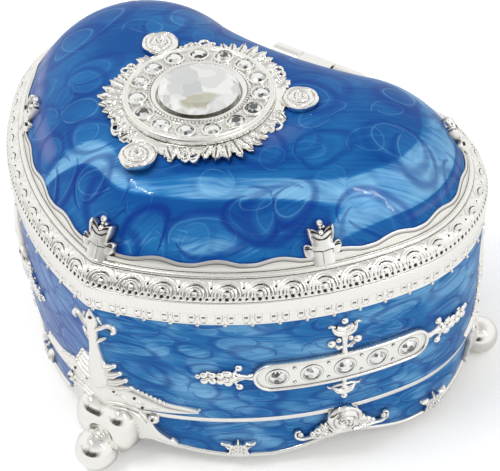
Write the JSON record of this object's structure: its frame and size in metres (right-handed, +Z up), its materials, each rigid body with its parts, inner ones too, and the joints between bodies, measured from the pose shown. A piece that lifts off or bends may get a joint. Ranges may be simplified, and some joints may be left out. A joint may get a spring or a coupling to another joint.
{
  "type": "heart-shaped trinket box",
  "caption": "Heart-shaped silver-plated trinket box with blue enamel walls, a hinged domed lid, a crystal medallion, velvet lining and ball feet.",
  "frame": {"origin": "centre of the overall box's base, on the surface that the three ball feet stand on", "axes": "+Z up, +X to the right along the box's width, the heart's point towards -Y and the hinge towards +Y"},
  "size_m": [0.1104, 0.0902, 0.0709],
  "materials": {
    "silver_plate": "silver-plated zinc casting, frosted in the hollows and burnished on the high edges",
    "polished_silver": "silver-plated zinc casting, mirror polished",
    "blue_enamel": "hand-brushed pearlescent cold enamel under a clear gloss coat",
    "blue_velvet": "short-pile flocked velvet",
    "clear_crystal": "faceted foil-backed crystal glass",
    "steel": "nickel-plated steel"
  },
  "bodies": {
    "body": {"body_shell": "silver_plate", "wall_enamel": "blue_enamel", "apron_enamel": "blue_enamel", "wall_lining": "blue_velvet", "floor_pad": "blue_velvet", "leg_front": "polished_silver", "leg_right": "polished_silver", "leg_left": "polished_silver", "leg_screws": "steel", "plaque_right": "silver_plate", "plaque_left": "silver_plate", "plaque_crystals_right": "clear_crystal", "plaque_crystals_left": "clear_crystal", "apron_rose_right": "silver_plate", "apron_rose_left": "silver_plate", "apron_crowns": "silver_plate", "hinge_pin": "steel"},
    "lid": {"lid_shell": "silver_plate", "lid_enamel": "blue_enamel", "lid_lining_velvet": "blue_velvet", "lid_crowns": "silver_plate", "medallion_wreath": "silver_plate", "medallion_nuts": "steel", "medallion_ring": "silver_plate", "ring_crystals": "clear_crystal", "centre_crystal": "clear_crystal"}
  },
  "joints": [
    {"name": "lid_hinge", "type": "hinge", "parent": "body", "child": "lid", "pos_m": [0, 0.04185, 0.0482], "axis": [-1, 0, 0], "range_deg": [0, 100]}
  ]
}
